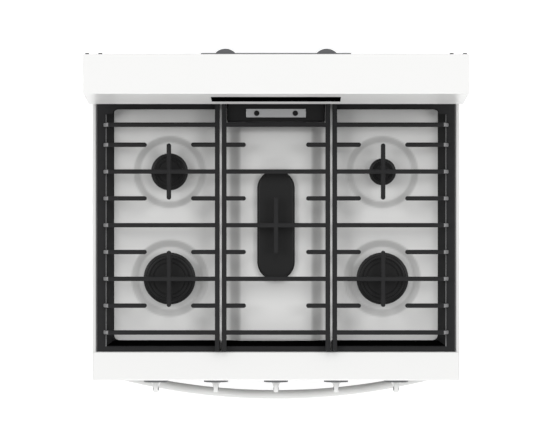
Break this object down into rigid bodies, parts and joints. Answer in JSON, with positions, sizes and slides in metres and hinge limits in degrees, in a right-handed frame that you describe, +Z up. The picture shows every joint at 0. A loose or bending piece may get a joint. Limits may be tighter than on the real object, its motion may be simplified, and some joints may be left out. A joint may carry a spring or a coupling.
{
  "type": "freestanding gas range",
  "caption": "White freestanding gas range: sealed burners under cast grates, oven with drop-down door, storage drawer, front knobs and a backguard with a touch display.",
  "frame": {"origin": "on the floor, under the centre of the range's overall box", "axes": "+X to the right seen from the front, +Y to the back, +Z up"},
  "size_m": [0.759, 0.718, 1.191],
  "materials": {
    "white_paint": "gloss",
    "white_enamel": "gloss",
    "cast_iron": "matte",
    "black_enamel": "satin",
    "oven_enamel": "gloss",
    "galvanised_steel": "satin",
    "brushed_steel": "brushed",
    "black_screws": "satin",
    "chrome_wire": "polished",
    "aluminium": "cast",
    "brass": "machined",
    "black_pipe": "satin",
    "steel_stem": "machined",
    "knob_plastic": "gloss",
    "bezel_plastic": "satin",
    "cover_plastic": "matte",
    "display_glass": "gloss",
    "board_plastic": "matte",
    "door_glass": "gloss",
    "lamp_glass": "gloss",
    "gasket_braid": "braided",
    "insulation_wool": "matte",
    "spark_ceramic": "satin"
  },
  "bodies": {
    "range": {"side_panels": "white_paint", "back_panel": "galvanised_steel", "base_frame": "galvanised_steel", "cooktop": "white_enamel", "vent_trim": "black_enamel", "vent_deflector": "brushed_steel", "backguard": "white_paint", "display_glass": "display_glass", "display_board": "board_plastic", "rear_cover": "cover_plastic", "screws": "black_screws", "control_panel": "white_paint", "knob_bezels": "bezel_plastic", "gas_valves": "brass", "manifold_pipe": "black_pipe", "burner_tubes": "aluminium", "burner_heads": "aluminium", "spark_electrodes": "spark_ceramic", "oven_liner": "oven_enamel", "oven_insulation": "insulation_wool", "rack_guides": "chrome_wire", "broil_burner": "galvanised_steel", "bake_burner": "galvanised_steel", "oven_lamp": "lamp_glass", "temperature_probe": "chrome_wire", "door_gasket": "gasket_braid", "hinge_brackets": "galvanised_steel", "drawer_glides": "galvanised_steel", "gas_regulator": "aluminium"},
    "oven_door": {"door_panel": "white_paint", "door_liner": "oven_enamel", "door_glass": "door_glass", "hinge_arms": "galvanised_steel", "door_handle": "white_paint"},
    "storage_drawer": {"drawer_front": "white_paint", "drawer_tub": "galvanised_steel"},
    "oven_rack_lower": {"oven_rack_lower": "chrome_wire"},
    "oven_rack_upper": {"oven_rack_upper": "chrome_wire"},
    "grate_left": {"grate_left": "cast_iron"},
    "grate_centre": {"grate_centre": "cast_iron"},
    "grate_right": {"grate_right": "cast_iron"},
    "burner_cap_left_front": {"burner_cap_left_front": "black_enamel"},
    "burner_cap_left_rear": {"burner_cap_left_rear": "black_enamel"},
    "burner_cap_right_rear": {"burner_cap_right_rear": "black_enamel"},
    "burner_cap_right_front": {"burner_cap_right_front": "black_enamel"},
    "burner_cap_centre": {"burner_cap_centre": "black_enamel"},
    "levelling_leg_left_front": {"levelling_leg_left_front": "brushed_steel"},
    "levelling_leg_left_rear": {"levelling_leg_left_rear": "brushed_steel"},
    "levelling_leg_right_front": {"levelling_leg_right_front": "brushed_steel"},
    "levelling_leg_right_rear": {"levelling_leg_right_rear": "brushed_steel"},
    "valve_stem_1": {"valve_stem_1": "steel_stem"},
    "knob_1": {"knob_1": "knob_plastic"},
    "valve_stem_2": {"valve_stem_2": "steel_stem"},
    "knob_2": {"knob_2": "knob_plastic"},
    "valve_stem_3": {"valve_stem_3": "steel_stem"},
    "knob_3": {"knob_3": "knob_plastic"},
    "valve_stem_4": {"valve_stem_4": "steel_stem"},
    "knob_4": {"knob_4": "knob_plastic"},
    "valve_stem_5": {"valve_stem_5": "steel_stem"},
    "knob_5": {"knob_5": "knob_plastic"}
  },
  "joints": [
    {"name": "oven_door_hinge", "type": "hinge", "parent": "range", "child": "oven_door", "pos_m": [0, -0.3, 0.24], "axis": [1, 0, 0], "range_deg": [0, 88]},
    {"name": "drawer_slide", "type": "slide", "parent": "range", "child": "storage_drawer", "axis": [0, -1, 0], "range_m": [0, 0.38]},
    {"name": "lower_rack_slide", "type": "slide", "parent": "range", "child": "oven_rack_lower", "axis": [0, -1, 0], "range_m": [0, 0.254]},
    {"name": "upper_rack_slide", "type": "slide", "parent": "range", "child": "oven_rack_upper", "axis": [0, -1, 0], "range_m": [0, 0.254]},
    {"name": "grate_left_lift", "type": "slide", "parent": "range", "child": "grate_left", "axis": [0, 0, 1], "range_m": [0, 0.08]},
    {"name": "grate_centre_lift", "type": "slide", "parent": "range", "child": "grate_centre", "axis": [0, 0, 1], "range_m": [0, 0.08]},
    {"name": "grate_right_lift", "type": "slide", "parent": "range", "child": "grate_right", "axis": [0, 0, 1], "range_m": [0, 0.08]},
    {"name": "cap_left_front_lift", "type": "slide", "parent": "range", "child": "burner_cap_left_front", "axis": [0, 0, 1], "range_m": [0, 0.041]},
    {"name": "cap_left_rear_lift", "type": "slide", "parent": "range", "child": "burner_cap_left_rear", "axis": [0, 0, 1], "range_m": [0, 0.041]},
    {"name": "cap_right_rear_lift", "type": "slide", "parent": "range", "child": "burner_cap_right_rear", "axis": [0, 0, 1], "range_m": [0, 0.041]},
    {"name": "cap_right_front_lift", "type": "slide", "parent": "range", "child": "burner_cap_right_front", "axis": [0, 0, 1], "range_m": [0, 0.041]},
    {"name": "cap_centre_lift", "type": "slide", "parent": "range", "child": "burner_cap_centre", "axis": [0, 0, 1], "range_m": [0, 0.041]},
    {"name": "leg_left_front_screw", "type": "slide", "parent": "range", "child": "levelling_leg_left_front", "axis": [0, 0, -1], "range_m": [0, 0.02]},
    {"name": "leg_left_rear_screw", "type": "slide", "parent": "range", "child": "levelling_leg_left_rear", "axis": [0, 0, -1], "range_m": [0, 0.02]},
    {"name": "leg_right_front_screw", "type": "slide", "parent": "range", "child": "levelling_leg_right_front", "axis": [0, 0, -1], "range_m": [0, 0.02]},
    {"name": "leg_right_rear_screw", "type": "slide", "parent": "range", "child": "levelling_leg_right_rear", "axis": [0, 0, -1], "range_m": [0, 0.02]},
    {"name": "knob_1_turn", "type": "hinge", "parent": "range", "child": "valve_stem_1", "pos_m": [-0.251, -0.311, 0.855], "axis": [0, -1, 0], "range_deg": [0, 225]},
    {"name": "knob_1_push", "type": "slide", "parent": "valve_stem_1", "child": "knob_1", "axis": [0, 1, 0], "range_m": [0, 0.0035], "stiffness_N_per_m": 1500, "springref_m": -0.001},
    {"name": "knob_2_turn", "type": "hinge", "parent": "range", "child": "valve_stem_2", "pos_m": [-0.1256, -0.311, 0.855], "axis": [0, -1, 0], "range_deg": [0, 225]},
    {"name": "knob_2_push", "type": "slide", "parent": "valve_stem_2", "child": "knob_2", "axis": [0, 1, 0], "range_m": [0, 0.0035], "stiffness_N_per_m": 1500, "springref_m": -0.001},
    {"name": "knob_3_turn", "type": "hinge", "parent": "range", "child": "valve_stem_3", "pos_m": [0, -0.311, 0.855], "axis": [0, -1, 0], "range_deg": [0, 225]},
    {"name": "knob_3_push", "type": "slide", "parent": "valve_stem_3", "child": "knob_3", "axis": [0, 1, 0], "range_m": [0, 0.0035], "stiffness_N_per_m": 1500, "springref_m": -0.001},
    {"name": "knob_4_turn", "type": "hinge", "parent": "range", "child": "valve_stem_4", "pos_m": [0.1256, -0.311, 0.855], "axis": [0, -1, 0], "range_deg": [0, 225]},
    {"name": "knob_4_push", "type": "slide", "parent": "valve_stem_4", "child": "knob_4", "axis": [0, 1, 0], "range_m": [0, 0.0035], "stiffness_N_per_m": 1500, "springref_m": -0.001},
    {"name": "knob_5_turn", "type": "hinge", "parent": "range", "child": "valve_stem_5", "pos_m": [0.251, -0.311, 0.855], "axis": [0, -1, 0], "range_deg": [0, 225]},
    {"name": "knob_5_push", "type": "slide", "parent": "valve_stem_5", "child": "knob_5", "axis": [0, 1, 0], "range_m": [0, 0.0035], "stiffness_N_per_m": 1500, "springref_m": -0.001}
  ],
  "couplings": [
    {"joint": "lower_rack_slide", "follows": "oven_door_hinge", "m_per_rad": 0.165},
    {"joint": "upper_rack_slide", "follows": "oven_door_hinge", "m_per_rad": 0.165},
    {"joint": "cap_left_front_lift", "follows": "grate_left_lift", "ratio": 0.5},
    {"joint": "cap_left_rear_lift", "follows": "grate_left_lift", "ratio": 0.5},
    {"joint": "cap_right_rear_lift", "follows": "grate_right_lift", "ratio": 0.5},
    {"joint": "cap_right_front_lift", "follows": "grate_right_lift", "ratio": 0.5},
    {"joint": "cap_centre_lift", "follows": "grate_centre_lift", "ratio": 0.5}
  ]
}
